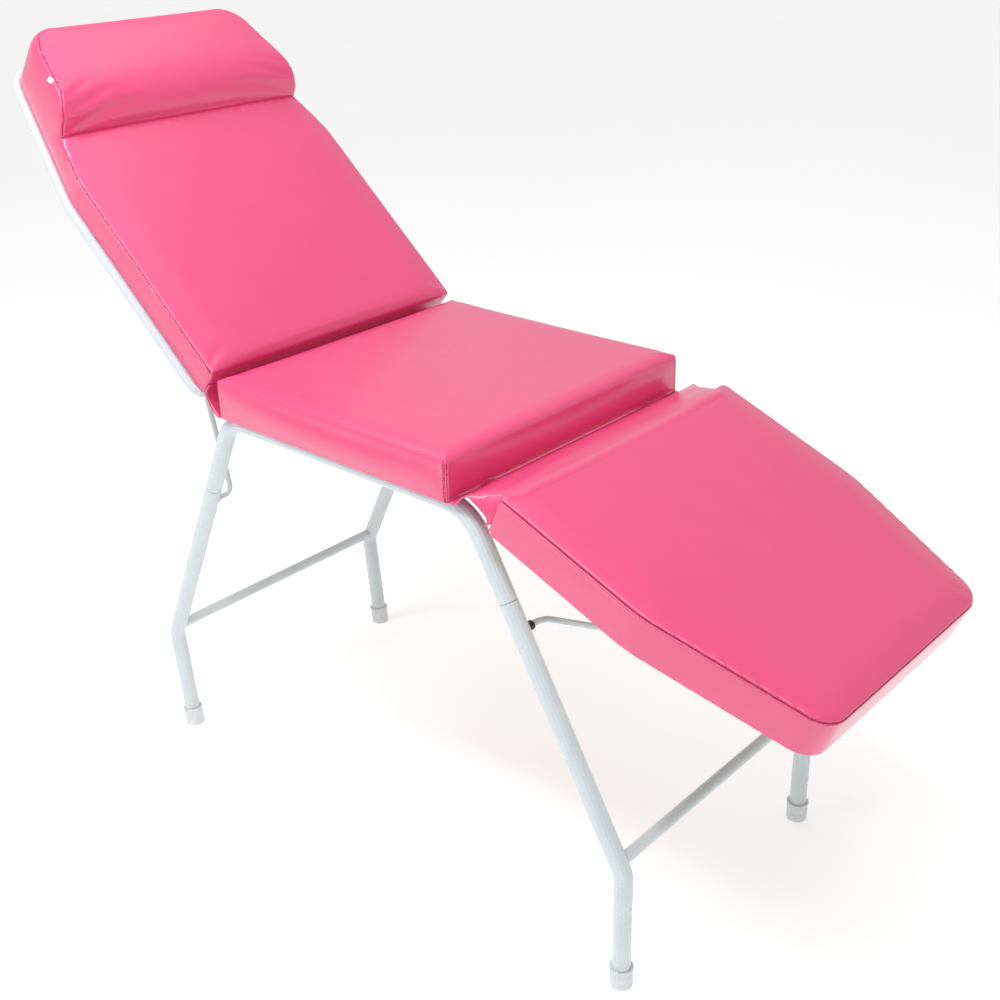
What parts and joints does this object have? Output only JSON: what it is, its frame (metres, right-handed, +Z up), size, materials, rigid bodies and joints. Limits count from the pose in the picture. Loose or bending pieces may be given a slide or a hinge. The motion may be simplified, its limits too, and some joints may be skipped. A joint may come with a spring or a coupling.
{
  "type": "facial treatment bed",
  "caption": "Padded treatment bed on a bent steel tube frame: fixed seat, reclining backrest with sewn-on headrest pillow, tilting leg rest, plug-in legs with rubber-tipped feet.",
  "frame": {"origin": "on the floor, at the middle of the overall length and width, in the pose of the picture", "axes": "+X to the foot end, +Y to the bed's left side as someone lying on it has it, +Z up"},
  "size_m": [1.6621, 0.5702, 1.288],
  "materials": {
    "pink_vinyl": "semi-gloss grained synthetic leather, pink",
    "white_paint": "gloss white powder coat",
    "foot_plastic": "matte pale grey plastic",
    "black_plastic": "matte black plastic",
    "plywood": "raw plywood",
    "zinc_steel": "zinc plated",
    "tag_cloth": "plain white woven tape"
  },
  "bodies": {
    "seat_frame": {"seat_rail_left": "white_paint", "seat_rail_right": "white_paint", "seat_cross_tube_rear": "white_paint", "seat_cross_tube_front": "white_paint", "seat_board": "plywood", "seat_pad": "pink_vinyl", "rear_leg_left": "white_paint", "rear_leg_right": "white_paint", "front_leg_left": "white_paint", "front_leg_right": "white_paint", "rear_crossbar": "white_paint", "front_crossbar": "white_paint", "rear_foot_cap_left": "foot_plastic", "rear_foot_cap_right": "foot_plastic", "front_foot_cap_left": "foot_plastic", "front_foot_cap_right": "foot_plastic", "back_hinge_bracket_left": "white_paint", "back_hinge_bracket_right": "white_paint", "back_hinge_rivet_left": "zinc_steel", "back_hinge_rivet_right": "zinc_steel", "leg_hinge_bracket_left": "white_paint", "leg_hinge_bracket_right": "white_paint", "leg_hinge_rivet_left": "zinc_steel", "leg_hinge_rivet_right": "zinc_steel", "back_stay_washer_left": "white_paint", "back_stay_washer_right": "white_paint", "leg_stay_bushing_left": "black_plastic", "leg_stay_bushing_right": "black_plastic", "rear_flap": "pink_vinyl", "front_flap": "pink_vinyl"},
    "backrest": {"back_frame_loop": "white_paint", "back_cross_tube_lower": "white_paint", "back_cross_tube_upper": "white_paint", "back_hinge_lug_left": "white_paint", "back_hinge_lug_right": "white_paint", "back_board": "plywood", "back_pad": "pink_vinyl", "headrest_pillow": "pink_vinyl", "blank_tag": "tag_cloth", "back_rack_left": "white_paint", "back_rack_right": "white_paint"},
    "legrest": {"leg_frame_loop": "white_paint", "leg_cross_tube": "white_paint", "leg_hinge_lug_left": "white_paint", "leg_hinge_lug_right": "white_paint", "leg_board": "plywood", "leg_pad": "pink_vinyl", "leg_rack_left": "white_paint", "leg_rack_right": "white_paint"},
    "back_stay_rod": {"back_stay": "white_paint"},
    "leg_stay_rod": {"leg_stay": "white_paint"}
  },
  "joints": [
    {"name": "backrest_hinge", "type": "hinge", "parent": "seat_frame", "child": "backrest", "pos_m": [-0.2746, 0, 0.72025], "axis": [0, 1, 0], "range_deg": [-41.3, 0], "deforming": ["rear_flap"]},
    {"name": "legrest_hinge", "type": "hinge", "parent": "seat_frame", "child": "legrest", "pos_m": [0.2606, 0, 0.70875], "axis": [0, 1, 0], "range_deg": [-21.8, 16.2], "deforming": ["front_flap"]},
    {"name": "back_stay_hinge", "type": "hinge", "parent": "seat_frame", "child": "back_stay_rod", "pos_m": [-0.34463, 0, 0.527], "axis": [0, 1, 0], "range_deg": [-40.9, 0]},
    {"name": "leg_stay_hinge", "type": "hinge", "parent": "seat_frame", "child": "leg_stay_rod", "pos_m": [0.37063, 0, 0.54], "axis": [0, 1, 0], "range_deg": [-46.1, 34.3]}
  ],
  "couplings": [
    {"joint": "back_stay_hinge", "follows": "backrest_hinge", "ratio": 0.99},
    {"joint": "leg_stay_hinge", "follows": "legrest_hinge", "ratio": 2.114}
  ]
}
